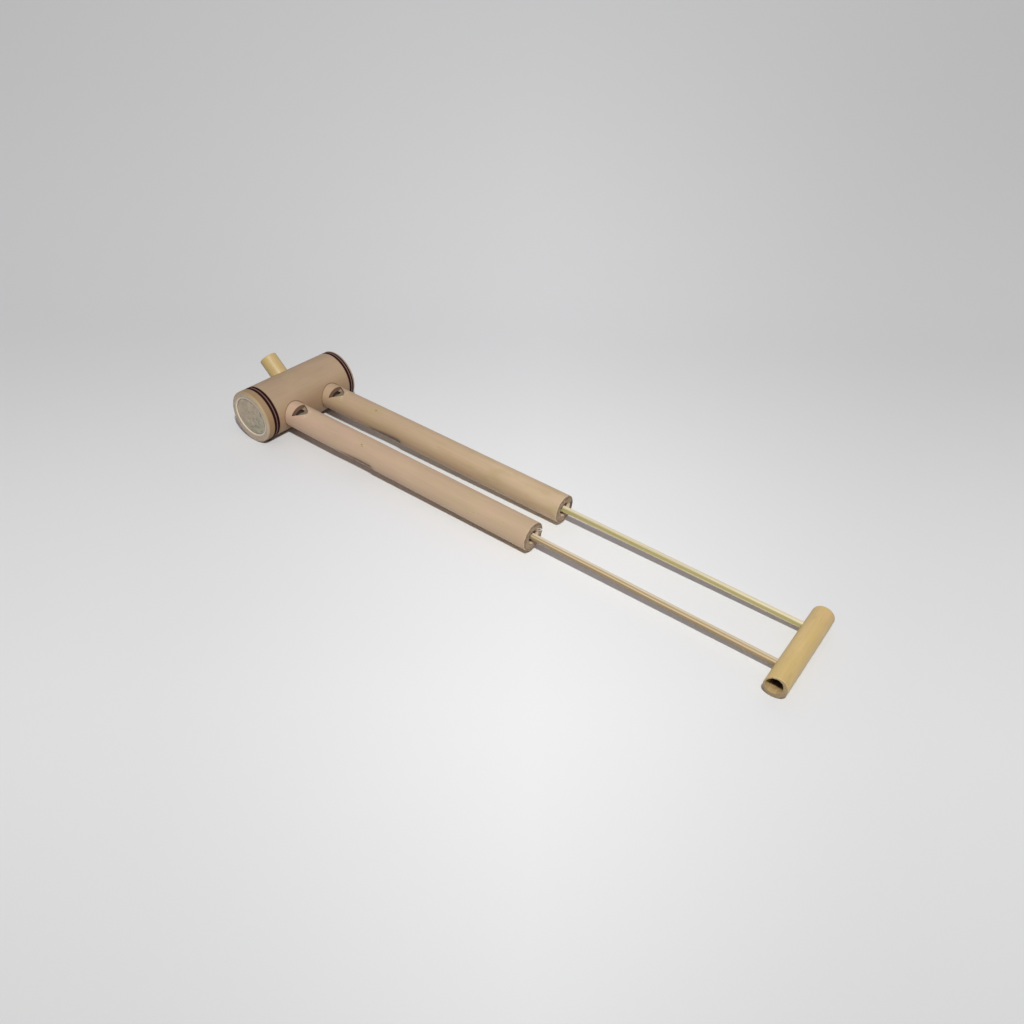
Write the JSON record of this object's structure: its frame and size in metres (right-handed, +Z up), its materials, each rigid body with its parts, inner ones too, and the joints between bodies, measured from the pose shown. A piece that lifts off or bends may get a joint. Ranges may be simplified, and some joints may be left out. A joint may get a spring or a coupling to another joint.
{
  "type": "double slide whistle",
  "caption": "Bamboo slide whistle: a blowpipe feeds a cross chamber, two whistle pipes leave it, and a T-handled slide works a piston in each pipe.",
  "frame": {"origin": "under the middle of the whole, with the slide pulled out as at rest, level with the bottom of the wind chamber", "axes": "+X along the whistle pipes from the wind chamber to the slide's handle, +Y along the wind chamber from its near end to its far end, +Z up, the side the blowpipe leans to and the windows open on"},
  "size_m": [0.3894, 0.0756, 0.0424],
  "materials": {
    "shaved_bamboo": "matte, shaved and sanded bamboo with fine lengthwise fibres",
    "golden_bamboo": "satin golden bamboo skin",
    "split_bamboo": "satin split bamboo with straight fibre streaks",
    "plug_fibre": "dull grey-beige fibre, mottled",
    "block_wood": "plain cut wood",
    "piston_rubber": "matte dark rubber"
  },
  "bodies": {
    "whistle_body": {"wind_chamber": "shaved_bamboo", "near_end_plug": "plug_fibre", "far_end_plug": "plug_fibre", "blowpipe": "golden_bamboo", "near_pipe": "shaved_bamboo", "far_pipe": "shaved_bamboo", "near_fipple_block": "block_wood", "far_fipple_block": "block_wood"},
    "slide": {"handle": "golden_bamboo", "near_rod": "split_bamboo", "far_rod": "split_bamboo", "near_piston": "piston_rubber", "far_piston": "piston_rubber"}
  },
  "joints": [
    {"name": "slide_travel", "type": "slide", "parent": "whistle_body", "child": "slide", "axis": [1, 0, 0], "range_m": [-0.14, 0.008]}
  ]
}
